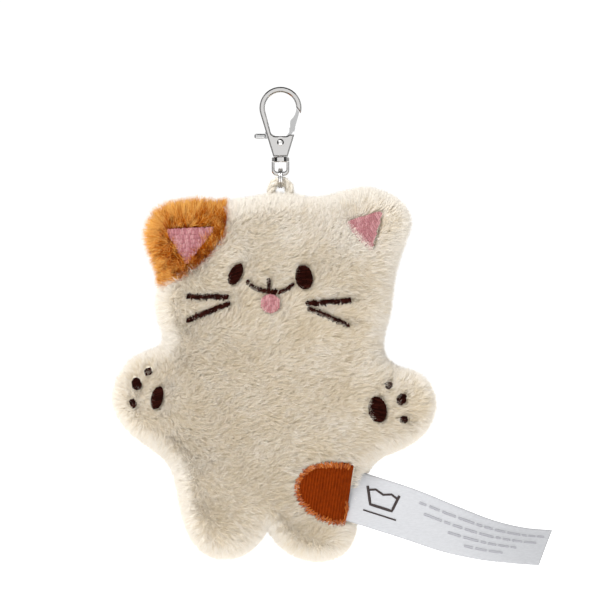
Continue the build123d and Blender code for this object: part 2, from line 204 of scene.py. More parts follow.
# Filled shapes: node, the stitches' angle from +X in degrees, height over the skin.
DARK_FILLS = [
    ("eye_left", 20, 2.0 * MM),
    ("eye_right", 5, 2.0 * MM),
    ("paw_pads_left", 15, 2.1 * MM),
    ("paw_pads_right", -10, 2.1 * MM),
]
PINK_FILLS = [("ear_lining_left", 84), ("ear_lining_right", 66), ("tongue", 88)]
# Lines: node, the stitches' angle in degrees, and how far they pass the outline.
DARK_LINES = [
    ("nose_and_mouth", 62, 0.05 * MM),
    ("whiskers_left", 75, 0.25 * MM),
    ("whiskers_right", 105, 0.2 * MM),
]

# Hip patch: ribbed cloth, with ribs that lean by RIB_SLANT, and a zigzag round it. The rim is searched
# outward from PATCH_MIDDLE left of the straight edge, from RIM_TOP_TURN degrees past its top corner to
# RIM_FOOT_TURN past its mirror. ZIGZAG_OUT and ZIGZAG_IN are the points' distances inward from the rim.
PATCH_LIFT = 1.9 * MM
PATCH_THICKNESS = 0.6 * MM
PATCH_ROWS = 90
PATCH_COLUMNS = 130
PATCH_INSET = 0.012
PATCH_MIDDLE = 4 * MM
RIB_PITCH = 0.95 * MM
RIB_SLANT = 0.145
RIB_DEPTH = 0.26 * MM
RIM_STEP = 0.1 * MM
RIM_STATIONS = 240
RIM_SEARCH = 24 * MM
RIM_TOP_TURN = 4
RIM_FOOT_TURN = 14
ZIGZAG_PITCH = 0.95 * MM
ZIGZAG_OUT = -0.40 * MM
ZIGZAG_IN = 1.5 * MM
ZIGZAG_SCATTER = 0.20 * MM
ZIGZAG_PLY = 0.13 * MM
ZIGZAG_RADIUS = 0.15 * MM

# Care label: its flat size, and stations along its top and lower edges, in millimetres.
LABEL_FLAT = (0.0160, 0.0700)
LABEL_THICKNESS = 0.22 * MM
LABEL_COLUMNS = 90
LABEL_ROWS = 20
LABEL_TOP = [(22.4, -3.0, -119.6), (43.4, -6.4, -126.1), (58.2, -6.8, -132.0), (70.5, -4.2, -136.9),
             (81.0, -0.8, -139.7), (90.8, 2.3, -140.9)]
LABEL_FOOT = [(20.9, -7.2, -136.6), (39.7, -8.2, -142.5), (53.2, -8.8, -146.9), (65.2, -9.4, -149.4),
              (75.8, -9.4, -150.6), (85.3, -8.6, -151.4)]
# Print, in shares of the label: the sign's centre and size, and the rows of dashes as (height, begin, end).
# PRINT_LIFT is the ink's height over the sheet in metres.
SIGN_CENTRE = (0.115, 0.62)
SIGN_SIZE = 0.22
BAR_CENTRE = (0.115, 0.30)
BAR_SIZE = 0.24
DASH_ROWS = [(0.78, 0.24, 0.96), (0.60, 0.27, 0.93), (0.42, 0.40, 0.80), (0.24, 0.50, 0.74)]
DASH_SHORTEST = 0.030
DASH_STEP = 0.018
DASH_GAP = 0.014
PRINT_LIFT = 0.13 * MM

# Cord: three twisted strands of nine yarns round a core, with fuzz.
CORD_DIAMETER = 2.8 * MM
CORD_TWIST_PITCH = 8.0 * MM
YARN_TWIST_PITCH = 0.55 * CORD_TWIST_PITCH
CORD_STATIONS = 260
CORD_STRANDS = 3
CORD_YARNS = 9
CORD_STRAND_OFFSET = 0.70 * MM
YARN_OFFSET = 0.62 * MM
YARN_RADIUS = 0.24 * MM
CORE_RADIUS = 0.55 * MM
FUZZ_STRANDS = 2600
FUZZ_OFFSET = 1.15 * MM
FUZZ_WIDTH = 0.06 * MM

# Metal: name, colour, lowest and highest roughness, the scale of the grain between them, and the CAD nodes.
METALS = [
    ("nickel_plate", (0.64, 0.63, 0.62), 0.05, 0.15, 900, ("clasp_body", "gate_rivet", "swivel_eye")),
    ("lever_steel", (0.50, 0.50, 0.50), 0.10, 0.24, 1100, ("gate_lever",)),
    ("ring_wire", (0.74, 0.73, 0.72), 0.08, 0.22, 1400, ("split_ring",)),
    ("spring_wire", (0.45, 0.45, 0.47), 0.3, 0.3, 0, ("gate_spring",)),
]


# -------------------- geometry helpers
def mesh_from_arrays(name, points, faces, materials, slots=None, smooth=False):
    """A mesh object from an (n, 3) array of points and an (m, k) array of corner indices."""
    mesh = bpy.data.meshes.new(name)
    count, corners = faces.shape
    mesh.vertices.add(len(points))
    mesh.vertices.foreach_set("co", np.ascontiguousarray(points, np.float32).ravel())
    mesh.loops.add(count * corners)
    mesh.loops.foreach_set("vertex_index", np.ascontiguousarray(faces, np.int32).ravel())
    mesh.polygons.add(count)
    mesh.polygons.foreach_set("loop_start", np.arange(0, count * corners, corners, dtype=np.int32))
    for material in materials:
        mesh.materials.append(material)
    if slots is not None:
        mesh.polygons.foreach_set("material_index", np.ascontiguousarray(slots, np.int32))
    mesh.polygons.foreach_set("use_smooth", np.full(count, smooth, dtype=bool))
    mesh.update(calc_edges=True)
    obj = bpy.data.objects.new(name, mesh)
    bpy.context.scene.collection.objects.link(obj)
    return obj


def grid_quads(rows, columns):
    """The quads of a grid whose points are numbered row by row."""
    index = np.arange(rows * columns).reshape(rows, columns)
    return np.stack([index[:-1, :-1], index[:-1, 1:], index[1:, 1:], index[1:, :-1]], axis=-1).reshape(-1, 4)


def vertex_values(mesh, attribute):
    values = np.empty(len(mesh.vertices) * 3, np.float32)
    mesh.vertices.foreach_get(attribute, values)
    return values.reshape(-1, 3).astype(float)


def coordinates(mesh):
    return vertex_values(mesh, "co")


def normals(mesh):
    return vertex_values(mesh, "normal")


def set_coordinates(mesh, points):
    mesh.vertices.foreach_set("co", np.ascontiguousarray(points, np.float32).ravel())
    mesh.update()


def apply_modifiers(obj):
    graph = bpy.context.evaluated_depsgraph_get()
    mesh = bpy.data.meshes.new_from_object(obj.evaluated_get(graph))
    obj.modifiers.clear()
    obj.data = mesh


def search_tree(*meshes, flat=False):
    """A tree for rays and nearest points; flat moves the meshes to y = 0, for distances in the front view."""
    points, polygons = [], []
    for mesh in meshes:
        base = len(points)
        points += [Vector((v.co.x, 0 if flat else v.co.y, v.co.z)) for v in mesh.vertices]
        polygons += [[base + i for i in p.vertices] for p in mesh.polygons]
    return BVHTree.FromPolygons(points, polygons)


def node_tree(*names, flat=False):
    return search_tree(*(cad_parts[name].data for name in names), flat=flat)


def front_spot(tree, x, z):
    """The foremost point of the tree's meshes at (x, z), or None."""
    return tree.ray_cast(Vector((x, -FAR, z)), Vector((0, 1, 0)))[0]


def front_of(tree, x, z):
    """That point's y, or the seam's."""
    spot = front_spot(tree, x, z)
    return spot.y if spot is not None else 0.0


def covered_runs(tree, start, along, length, step):
    """The stretches of a line, as (from, to) distances, that the tree's meshes cover in the front view."""
    runs, opened = [], None
    for i in range(int(length / step) + 2):
        distance = i * step
        inside = front_spot(tree, *(start + along * distance)) is not None
        if inside and opened is None:
            opened = distance
        if not inside and opened is not None:
            runs.append((opened, distance))
            opened = None
    return runs


def unit(vectors):
    return vectors / np.maximum(np.linalg.norm(vectors, axis=-1, keepdims=True), 1e-9)


def flattened(vectors, facing):
    """The vectors without the part that points out of the surface."""
    return vectors - (vectors * facing).sum(axis=1, keepdims=True) * facing


class Waves:
    """A smooth random field in space: a sum of sines with random directions."""

    def __init__(self, seed, wavelength, count):
        random = np.random.default_rng(seed)
        directions = unit(random.normal(size=(count, 3)))
        lengths = wavelength * random.uniform(0.7, 1.5, size=(count, 1))
        self.turns = directions * (2 * math.pi / lengths)
        self.phase = random.uniform(0, 2 * math.pi, count)
        self.gain = math.sqrt(2 / count)

    def value(self, points):
        return np.sin(points @ self.turns.T + self.phase).sum(axis=1) * self.gain

    def slope(self, points):
        """The gradient's direction and rough size, scaled to about one."""
        gradient = np.cos(points @ self.turns.T + self.phase) @ self.turns * self.gain
        return gradient / np.linalg.norm(self.turns, axis=1).mean()


def tube(points, radius, sides, flatness=1.0):
    """Points and quads of a tube along a line of points; flatness squeezes it across the line."""
    line = np.asarray(points, float)
    along = unit(np.gradient(line, axis=0))
    reference = np.array([0.0, 1.0, 0.0])
    if abs(along @ reference).max() > 0.95:
        reference = np.array([1.0, 0.0, 0.0])
    across = unit(np.cross(along, reference))
    upward = unit(np.cross(across, along))
    turns = 2 * math.pi * np.arange(sides) / sides
    rings = line[:, None, :] + radius * (np.cos(turns)[None, :, None] * across[:, None, :]
                                         + flatness * np.sin(turns)[None, :, None] * upward[:, None, :])
    index = np.arange(len(line) * sides).reshape(len(line), sides)
    after = np.roll(index, -1, axis=1)
    quads = np.stack([index[:-1], after[:-1], after[1:], index[1:]], axis=-1).reshape(-1, 4)
    return rings.reshape(-1, 3), quads


class Bundle:
    """Collects tubes into one mesh."""

    def __init__(self):
        self.points, self.quads, self.slots, self.count = [], [], [], 0

    def add(self, points, quads, slot):
        self.points.append(points)
        self.quads.append(quads + self.count)
        self.slots.append(np.full(len(quads), slot))
        self.count += len(points)

    def build(self, name, materials):
        return mesh_from_arrays(name, np.concatenate(self.points), np.concatenate(self.quads), materials,
                                np.concatenate(self.slots), smooth=True)


# -------------------- materials
def linear(hex_colour):
    """Linear RGB of an sRGB hex colour."""
    values = [int(hex_colour[i:i + 2], 16) / 255 for i in (0, 2, 4)]
    return tuple(v / 12.92 if v <= 0.04045 else ((v + 0.055) / 1.055) ** 2.4 for v in values)


def principled(name, colour, roughness, metallic=0.0, sheen=0.0, specular=0.5):
    material = bpy.data.materials.new(name)
    material.use_nodes = True
    inputs = material.node_tree.nodes["Principled BSDF"].inputs
    inputs["Base Color"].default_value = (*colour, 1.0)
    inputs["Roughness"].default_value = roughness
    inputs["Metallic"].default_value = metallic
    inputs["Sheen Weight"].default_value = sheen
    inputs["Sheen Roughness"].default_value = 0.45
    inputs["Specular IOR Level"].default_value = specular
    material.diffuse_color = (*colour, 1.0)
    return material


def thread_materials(name, colours, roughness, sheen, specular=0.5):
    return [principled(f"{name}_{i}", linear(colour), roughness, sheen=sheen, specular=specular)
            for i, colour in enumerate(colours)]


def add_noise_colour(material, dark, light, scale, stretch=(1, 1, 1)):
    """Colour that drifts between two tones over the surface; returns the noise for other uses."""
    tree = material.node_tree
    place = tree.nodes.new("ShaderNodeTexCoord")
    mapping = tree.nodes.new("ShaderNodeMapping")
    mapping.inputs["Scale"].default_value = stretch
    grain = tree.nodes.new("ShaderNodeTexNoise")
    grain.inputs["Scale"].default_value = scale
    grain.inputs["Detail"].default_value = 3.0
    ramp = tree.nodes.new("ShaderNodeValToRGB")
    for element, position, colour in zip(ramp.color_ramp.elements, (0.35, 0.65), (dark, light)):
        element.position = position
        element.color = (*colour, 1)
    tree.links.new(place.outputs["Object"], mapping.inputs["Vector"])
    tree.links.new(mapping.outputs["Vector"], grain.inputs["Vector"])
    tree.links.new(grain.outputs["Fac"], ramp.inputs["Fac"])
    tree.links.new(ramp.outputs["Color"], tree.nodes["Principled BSDF"].inputs["Base Color"])
    return grain


def add_bump(material, height_socket, strength, distance):
    tree = material.node_tree
    bump = tree.nodes.new("ShaderNodeBump")
    bump.inputs["Strength"].default_value = strength
    bump.inputs["Distance"].default_value = distance
    tree.links.new(height_socket, bump.inputs["Height"])
    tree.links.new(bump.outputs["Normal"], tree.nodes["Principled BSDF"].inputs["Normal"])


def woven(material, scale):
    """Fine level lines, like the weft of a ribbed cloth."""
    tree = material.node_tree
    place = tree.nodes.new("ShaderNodeTexCoord")
    lines = tree.nodes.new("ShaderNodeTexWave")
    lines.bands_direction = "Z"
    lines.inputs["Scale"].default_value = scale / (2 * math.pi)
    lines.inputs["Distortion"].default_value = 1.5
    tree.links.new(place.outputs["Object"], lines.inputs["Vector"])
    return lines.outputs["Fac"]


def add_roughness_noise(material, low, high, scale):
    tree = material.node_tree
    place = tree.nodes.new("ShaderNodeTexCoord")
    grain = tree.nodes.new("ShaderNodeTexNoise")
    grain.inputs["Scale"].default_value = scale
    limits = tree.nodes.new("ShaderNodeMapRange")
    limits.inputs["To Min"].default_value = low
    limits.inputs["To Max"].default_value = high
    tree.links.new(place.outputs["Object"], grain.inputs["Vector"])
    tree.links.new(grain.outputs["Fac"], limits.inputs["Value"])
    tree.links.new(limits.outputs["Result"], tree.nodes["Principled BSDF"].inputs["Roughness"])


# -------------------- plush skin
def joined_nodes(name, *nodes):
    """One new object with copies of the CAD nodes' meshes."""
    bm = bmesh.new()
    for node in nodes:
        bm.from_mesh(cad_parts[node].data)
    mesh = bpy.data.meshes.new(name)
    bm.to_mesh(mesh)
    bm.free()
    obj = bpy.data.objects.new(name, mesh)
    bpy.context.scene.collection.objects.link(obj)
    return obj


def keep_largest_island(mesh):
    """Deletes everything but the island with the most points."""
    bm = bmesh.new()
    bm.from_mesh(mesh)
    unseen = set(bm.verts)
    islands = []
    while unseen:
        start = unseen.pop()
        island, border = {start}, [start]
        while border:
            for edge in border.pop().link_edges:
                for v in edge.verts:
                    if v in unseen:
                        unseen.discard(v)
                        island.add(v)
                        border.append(v)
        islands.append(island)
    keep = max(islands, key=len)
    bmesh.ops.delete(bm, geom=[v for v in bm.verts if v not in keep], context="VERTS")
    bm.to_mesh(mesh)
    bm.free()


def smooth_object(obj, passes):
    modifier = obj.modifiers.new("smooth", "SMOOTH")
    modifier.factor = SMOOTHING
    modifier.iterations = passes
    apply_modifiers(obj)


def in_orange_corner(points):
    """Which of the points belong to the orange ear's panels rather than the cream ones."""
    orange_tree = node_tree("ear_panel_front", "ear_panel_back")
    cream_tree = node_tree("front_panel", "back_panel")
    low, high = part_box("ear_panel_front")
    margin = 3 * MM
    near = (points[:, 0] < high.x + margin) & (points[:, 2] > low.z - margin)
    orange = np.zeros(len(points), bool)
    for i in np.nonzero(near)[0]:
        spot = Vector(points[i])
        orange[i] = orange_tree.find_nearest(spot)[3] < cream_tree.find_nearest(spot)[3]
    return orange


def inflate(obj):
    """Blows the skin up like a lightly filled toy: SWELL at its fullest, and mostly to the front and back.
    The cloth works at SIM_SCALE times the size, where its stiffness suits the grid."""
    before = coordinates(obj.data)
    set_coordinates(obj.data, before * SIM_SCALE)
    cloth = obj.modifiers.new("cloth", "CLOTH")
    cloth.settings.use_pressure = True
    cloth.settings.uniform_pressure_force = SIM_PRESSURE
    cloth.settings.effector_weights.gravity = 0.0
    cloth.settings.tension_stiffness = SIM_STIFFNESS
    cloth.settings.compression_stiffness = SIM_STIFFNESS
    cloth.settings.bending_stiffness = SIM_BENDING
    cloth.point_cache.frame_end = SIM_FRAMES
    for step in range(1, SIM_FRAMES + 1):
        bpy.context.scene.frame_set(step)
    apply_modifiers(obj)
    bpy.context.scene.frame_set(1)
    moved = coordinates(obj.data) / SIM_SCALE - before
    moved[:, (0, 2)] *= SIM_SIDEWAYS
    furthest = np.linalg.norm(moved, axis=1).max()
    set_coordinates(obj.data, before + moved * SWELL / furthest)


def round_profile(obj):
    """Smooths the skin's depth and leaves its outline in the front view alone."""
    outline = coordinates(obj.data)
    smooth_object(obj, ROUNDING_PASSES)
    rounded = coordinates(obj.data)
    rounded[:, (0, 2)] = outline[:, (0, 2)]
    set_coordinates(obj.data, rounded)


def cleave_feet(points):
    """Deepens the cleft between the feet, which the smoothing fills. It is where the foot edge peaks."""
    edge = coordinates(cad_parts["front_panel"].data)
    low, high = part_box("front_panel")
    middle = (low.x + high.x) / 2
    stations = np.arange(middle - CLEFT_SEARCH, middle + CLEFT_SEARCH, CLEFT_STEP)
    foot_edge = [edge[np.abs(edge[:, 0] - x) < 2 * CLEFT_STEP][:, 2].min() for x in stations]
    peak = int(np.argmax(foot_edge))
    beside = (points[:, 0] - stations[peak]) / CLEFT_WIDTH
    above = (points[:, 2] - foot_edge[peak]) / CLEFT_REACH
    lifted = points.copy()
    lifted[:, 2] += CLEFT_DEPTH * np.exp(-beside ** 2) * np.clip(1 - above, 0, 1)
    return lifted


def pinch(points):
    """Pulls the front in round the stitching, most at the stitches and not at the seam."""
    stitching = node_tree(*(node for nodes, _, _ in STITCHING for node in nodes), flat=True)
    fullness = np.clip(-points[:, 1] / PINCH_FULL, 0, 1)
    pulled = points.copy()
    for i in np.nonzero(fullness)[0]:
        x, _, z = points[i]
        near, _, _, gap = stitching.find_nearest(Vector((x, 0, z)), 3 * PINCH_REACH)
        if near is not None:
            pulled[i, 1] += PINCH_DEPTH * fullness[i] * math.exp(-(gap / PINCH_REACH) ** 2)
    return pulled


def make_skin():
    """The stuffed toy's surface under the pile, shaped from the panels and the stuffing."""
    skin = joined_nodes("plush_skin", "front_panel", "back_panel", "ear_panel_front", "ear_panel_back",
                        "stuffing")
    remesh = skin.modifiers.new("remesh", "REMESH")
    remesh.mode = "VOXEL"
    remesh.voxel_size = SKIN_VOXEL
    apply_modifiers(skin)
    keep_largest_island(skin.data)
    smooth_object(skin, GRID_PASSES)
    points = coordinates(skin.data)
    room = np.where(in_orange_corner(points), EAR_PILE_ROOM, PILE_ROOM)
    set_coordinates(skin.data, points - room[:, None] * normals(skin.data))
    inflate(skin)
    smooth_object(skin, SWELL_PASSES)
    round_profile(skin)
    subdivide = skin.modifiers.new("subdivide", "SUBSURF")
    subdivide.levels = 1
    apply_modifiers(skin)
    set_coordinates(skin.data, pinch(cleave_feet(coordinates(skin.data))))
    for polygon in skin.data.polygons:
        polygon.use_smooth = True
    return skin


def dress_skin(skin):
    """The knitted backing that shows between the strands."""
    skin.data.materials.clear()
    for name, dark, light in (("cream_backing", "E0D6C4", "EAE2D4"), ("orange_backing", "8C420A", "A85818")):
        backing = principled(name, linear(dark), roughness=0.9)
        add_noise_colour(backing, linear(dark), linear(light), scale=500)
        skin.data.materials.append(backing)
    middles = np.array([polygon.center for polygon in skin.data.polygons])
    skin.data.polygons.foreach_set("material_index", in_orange_corner(middles).astype(np.int32))


# -------------------- pile
def sample_surface(mesh, random):
    """Evenly spread random points on a mesh, one for each strand, with smooth normals."""
    mesh.calc_loop_triangles()
    triangles = np.empty(len(mesh.loop_triangles) * 3, np.int32)
    mesh.loop_triangles.foreach_get("vertices", triangles)
    triangles = triangles.reshape(-1, 3)
    corners = coordinates(mesh)[triangles]
    areas = np.linalg.norm(np.cross(corners[:, 1] - corners[:, 0], corners[:, 2] - corners[:, 0]), axis=1) / 2
    count = int(areas.sum() / MM ** 2 * STRANDS_PER_MM2)
    chosen = random.choice(len(triangles), size=count, p=areas / areas.sum())
    a, b = random.random((2, count))
    flip = a + b > 1
    a[flip], b[flip] = 1 - a[flip], 1 - b[flip]
    weights = np.stack([1 - a - b, a, b], axis=1)[:, :, None]
    points = (corners[chosen] * weights).sum(axis=1)
    facing = unit((normals(mesh)[triangles][chosen] * weights).sum(axis=1))
    return points, facing


def comb(points, facing):
    """The way the pile lies: to the right and a little up, outward at the rim and round the ear linings.
    The vectors shorten where two of these ways oppose each other, and there chance decides."""
    drift = Waves(5, wavelength=34 * MM, count=8).value(points)
    fine = Waves(6, wavelength=9 * MM, count=12).value(points)
    angle = np.radians(LIE + LIE_DRIFT * drift + LIE_FINE * fine)[:, None]
    rightward = unit(flattened(np.tile(LIE_RIGHTWARD, (len(points), 1)), facing))
    upward = unit(np.cross(rightward, facing))
    upward *= np.where(upward[:, 2:] < 0, -1, 1)
    flow = np.cos(angle) * rightward + np.sin(angle) * upward

    to_seam = unit(flattened(np.array([[0.0, 1.0, 0.0]]) * -np.sign(facing[:, 1:2]), facing))
    rim = np.clip(RIM_GAIN * (1 - np.abs(facing[:, 1:2])), 0, RIM_SHARE)
    flow = flow * (1 - rim) + to_seam * rim

    for name in ("ear_lining_left", "ear_lining_right"):
        low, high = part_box(name)
        away = points - np.array((low + high) / 2)
        away[:, 1] = 0
        distance = np.linalg.norm(away, axis=1, keepdims=True)
        pull = LINING_SHARE * np.clip(1.5 - distance / LINING_REACH, 0, 1)
        outward = unit(away) + np.array([0, 0, 0.25])
        flow = flow * (1 - pull) + pull * outward
    return flattened(flow, facing)


def part_round_stitching(points, flow, facing):
    """No strand grows in the stitching. Those beside it are trimmed and lean away from it, but those beside
    the ear linings keep their length and fall over the edges. Returns the flow and each strand's length,
    as a share of the whole."""
    length = np.ones(len(points))
    on_front = np.nonzero(facing[:, 1] < BACK_FACING)[0]
    for nodes, trim, push in STITCHING:
        stitching = node_tree(*nodes, flat=True)
        for i in on_front:
            x, _, z = points[i]
            near, _, _, gap = stitching.find_nearest(Vector((x, 0, z)), STITCH_REACH)
            if near is None:
                continue
            if gap < STITCH_MARGIN:
                length[i] = 0
                continue
            away = np.array([x - near.x, 0.0, z - near.z]) / gap
            closeness = 1 - gap / STITCH_REACH
            length[i] *= 1 - trim * closeness
            flow[i] = flow[i] * (1 - push * closeness) + push * closeness * away
    return flattened(flow, facing), length


def strand_mesh(name, roots, facing, flow, length, lift, tones, materials, cuts, random, width):
    """Tapered ribbons that rise from the skin and lie over along the flow. Tones are indices into the
    materials, and half of the tips take the next one, on the pile one tone paler: a painted highlight on the
    tips."""
    count = len(roots)
    steps = np.linspace(0, 1, cuts + 1)
    widths = 1 - STRAND_TAPER * steps ** TAPER_POWER
    across = unit(np.cross(flow, facing))
    roll = random.uniform(-STRAND_ROLL, STRAND_ROLL, (count, 1))
    side = across * np.cos(roll) + facing * np.sin(roll)
    rise = (steps * (1 + RISE_BOW - RISE_BOW * steps))[None, :, None] * lift[:, None, None]
    reach = np.sqrt(np.maximum(1 - lift ** 2, 0.0))
    run = (steps * (1 - RUN_BOW + RUN_BOW * steps))[None, :, None] * reach[:, None, None]
    curl = random.normal(0, STRAND_CURL, (count, 1, 1)) * (steps ** 2)[None, :, None]
    spine = (roots[:, None, :] + length[:, None, None]
             * (rise * facing[:, None, :] + run * flow[:, None, :] + curl * across[:, None, :]))
    half = (width / 2) * widths[None, :, None] * side[:, None, :]
    points = np.stack([spine - half, spine + half], axis=2).reshape(-1, 3)
    per_strand = 2 * len(steps)
    base = (np.arange(count) * per_strand)[:, None, None]
    quad = np.array([[2 * i, 2 * i + 1, 2 * i + 3, 2 * i + 2] for i in range(cuts)])
    faces = (base + quad[None]).reshape(-1, 4)
    slots = np.repeat(tones[:, None], cuts, axis=1)
    # Half of the tips take the next tone, on the pile a paler one: a painted highlight on the tips.
    slots[:, -1] = np.minimum(tones + (random.random(count) < 0.5), len(materials) - 1)
    return mesh_from_arrays(name, points, faces, materials, slots.ravel(), smooth=True)


def pile_paleness(points, rim, speckle):
    """How many tones up from the darkest each strand is, before the partings and the scatter: random patches
    and specks, with a painted highlight on the crown and at the rim.
    """
    patchy = Waves(22, wavelength=14 * MM, count=10).value(points)
    low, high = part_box("front_panel")
    height = (points[:, 2] - low.z) / (high.z - low.z)
    crown = np.clip((height - CROWN_START) / (1 - CROWN_START), 0, 1)
    return TONE + TONE_PATCHES * patchy + TONE_SPECKS * speckle + CROWN_PAINTED_LIGHT * crown + RIM_PAINTED_LIGHT * rim


def ear_paleness(points, speckle):
    """What is added to that on the orange ear, with a painted highlight towards its outer edge."""
    low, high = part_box("ear_panel_front")
    share = (points[:, 0] - low.x) / (high.x - low.x)
    # Random specks, and a painted highlight that fades in from the ear's outer edge.
    return EAR_TONE + EAR_TONE_SPECKS * speckle + EAR_EDGE_PAINTED_LIGHT * np.exp(-share / EAR_EDGE_WIDTH)


def make_fur(skin):
    """The pile, in pieces small enough to be exported whole."""
    random = np.random.default_rng(11)
    points, facing = sample_surface(skin.data, random)
    flow, trimmed = part_round_stitching(points, comb(points, facing), facing)
    tuft_pull = flattened(Waves(21, wavelength=2.6 * MM, count=16).slope(points), facing)
    speckle = Waves(23, wavelength=3.0 * MM, count=14).value(points)
    rim = 1 - np.abs(facing[:, 1])
    paleness = pile_paleness(points, rim, speckle)
    extra = ear_paleness(points, speckle)
    orange = in_orange_corner(points)

    for kind, length, shortest, tones, tuftiness, cuts, gloss in COATS:
        materials = thread_materials(f"{kind}_pile", tones, roughness=0.75, sheen=gloss, specular=gloss)
        grown = (orange if kind == "orange" else ~orange) & (trimmed > 0)
        keep = random.permutation(np.nonzero(grown)[0])
        parts = math.ceil(len(keep) * 2 * cuts / PIECE_TRIANGLES)
        for part, members in enumerate(np.array_split(keep, parts)):
            count = len(members)
            noise = random.normal(0, LIE_SCATTER, (count, 3))
            lean = flattened(flow[members] + tuftiness * tuft_pull[members] + noise, facing[members])
            agreement = np.minimum(np.linalg.norm(lean, axis=1), 1.0)
            slant = np.maximum(agreement, LEAST_SLANT)
            lengths = length * trimmed[members] * random.uniform(shortest, 1.12, count)
            lift = LIFT + LIFT_SPECKLE * speckle[members] + LIFT_RIM * rim[members]
            lift = np.clip(lift + random.normal(0, LIFT_SCATTER, count), *LIFT_LIMITS)
            lift = np.sqrt(1 - (1 - lift ** 2) * slant ** 2)
            # Partings are painted paler, over the shade between the parted strands.
            level = paleness[members] + PARTING_PAINTED_LIGHT * (1 - agreement) + random.normal(0, TONE_SCATTER, count)
            if kind == "orange":
                level += extra[members] + random.normal(0, TONE_SCATTER, count)
            tone_index = np.clip(np.round(level), 0, len(tones) - 1).astype(int)
            fur = strand_mesh(f"fur_{kind}_{part}", points[members], facing[members], unit(lean), lengths,
                              lift, tone_index, materials, cuts, random, STRAND_WIDTH)
            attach(fur, "plush")


# -------------------- embroidery
def thread(bundle, skin_tree, begin, end, height, radius, slot):
    """One stitch from begin to end, (x, z) points, that rides over the skin with a slight arch."""
    share = np.linspace(0, 1, STITCH_CUTS + 1)
    spots = begin[None, :] * (1 - share[:, None]) + end[None, :] * share[:, None]
    depth = np.array([front_of(skin_tree, x, z) for x, z in spots]) - height
    depth -= STITCH_ARCH * np.sin(math.pi * share)
    depth[[0, -1]] += STITCH_DIP * radius
    line = np.stack([spots[:, 0], depth, spots[:, 1]], axis=1)
    bundle.add(*tube(line, radius, sides=5), slot)


def fill_with_stitches(node, skin_tree, degrees, colours, height, spacing=ROW_SPACING, stitch=None,
                       radius=STITCH_RADIUS, grow=0.0, jitter=0.1 * MM):
    """Covers a CAD node's outline with rows of stitches at an angle to +X. A row is one stitch, or where
    stitch is given, as many of that length as it takes."""
    random = np.random.default_rng(1)
    tree = node_tree(node)
    low, high = (np.array(corner)[[0, 2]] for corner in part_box(node))
    angle = math.radians(degrees)
    along = np.array([math.cos(angle), math.sin(angle)])
    across = np.array([-along[1], along[0]])
    middle = (low + high) / 2
    reach = np.linalg.norm(high - low) / 2 + spacing
    bundle = Bundle()
    for row in range(int(2 * reach / spacing) + 1):
        start = middle + across * (row * spacing - reach) - along * reach
        for begin, end in covered_runs(tree, start, along, 2 * reach, OUTLINE_STEP):
            begin += random.normal(0, jitter) - grow
            end += random.normal(0, jitter) + grow
            if end - begin < STITCH_SHORTEST * radius:
                continue
            ends = [begin, end]
            if stitch is not None:
                bricked = 0.35 + 0.65 * ((row * 0.5) % 1)
                first = begin + stitch * bricked * random.uniform(0.9, 1.1)
                ends = [begin, *np.arange(first, end - 0.3 * stitch, stitch), end]
            for a, b in zip(ends[:-1], ends[1:]):
                thread(bundle, skin_tree, start + along * a, start + along * b, height, radius,
                       random.integers(len(colours)))
    piece = bundle.build(f"{node}_stitches", colours)
    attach(piece, "plush")
    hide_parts(node)
    return piece


def make_embroidery(skin_tree):
    dark = thread_materials("dark_thread", ["230905", "2E100A", "1B0603"], roughness=0.85, sheen=0.0,
                            specular=0.03)
    pink = thread_materials("pink_thread", ["B3797D", "BE898B", "A6686D"], roughness=0.5, sheen=0.1)
    for node, degrees, height in DARK_FILLS:
        stitches = fill_with_stitches(node, skin_tree, degrees, dark, height, stitch=2.6 * MM, grow=0.15 * MM)
    for node, degrees, grow in DARK_LINES:
        stitches = fill_with_stitches(node, skin_tree, degrees, dark, height=1.8 * MM, spacing=0.38 * MM,
                                      radius=0.25 * MM, grow=grow, jitter=0.24 * MM)
    for node, degrees in PINK_FILLS:
        stitches = fill_with_stitches(node, skin_tree, degrees, pink, height=1.7 * MM, spacing=0.52 * MM,
                                      stitch=1.5 * MM, radius=0.27 * MM)


# -------------------- hip patch
def make_patch_cloth(skin_tree, tree, low, high):
    """Ribbed cloth, built row by row between the patch's left and right edges."""
    rightward = np.array([1.0, 0.0])
    begin = low[0] - MM
    points = []
    for row in range(PATCH_ROWS):
        z = low[2] + (high[2] - low[2]) * (PATCH_INSET + (1 - 2 * PATCH_INSET) * row / (PATCH_ROWS - 1))
        runs = covered_runs(tree, np.array([begin, z]), rightward, high[0] - low[0] + 2 * MM, RIM_STEP)
        left, right = begin + runs[0][0], begin + runs[-1][1]
        for column in range(PATCH_COLUMNS):
            x = left + (right - left) * column / (PATCH_COLUMNS - 1)
            across = x - RIB_SLANT * (z - low[2])
            rib = RIB_DEPTH * math.sin(2 * math.pi * across / RIB_PITCH)
            points.append((x, front_of(skin_tree, x, z) - PATCH_LIFT - rib, z))
    cloth = principled("patch_cloth", linear("7C2E04"), roughness=0.9, specular=0.05)
    add_noise_colour(cloth, linear("762A03"), linear("863305"), scale=900)
    add_bump(cloth, woven(cloth, scale=5200), strength=0.6, distance=0.2 * MM)
    patch = mesh_from_arrays("hip_patch_cloth", np.array(points), grid_quads(PATCH_ROWS, PATCH_COLUMNS),
                             [cloth], smooth=True)
    solid = patch.modifiers.new("thickness", "SOLIDIFY")
    solid.thickness = PATCH_THICKNESS
    solid.offset = -1
    apply_modifiers(patch)
    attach(patch, "plush")
    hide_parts("hip_patch")


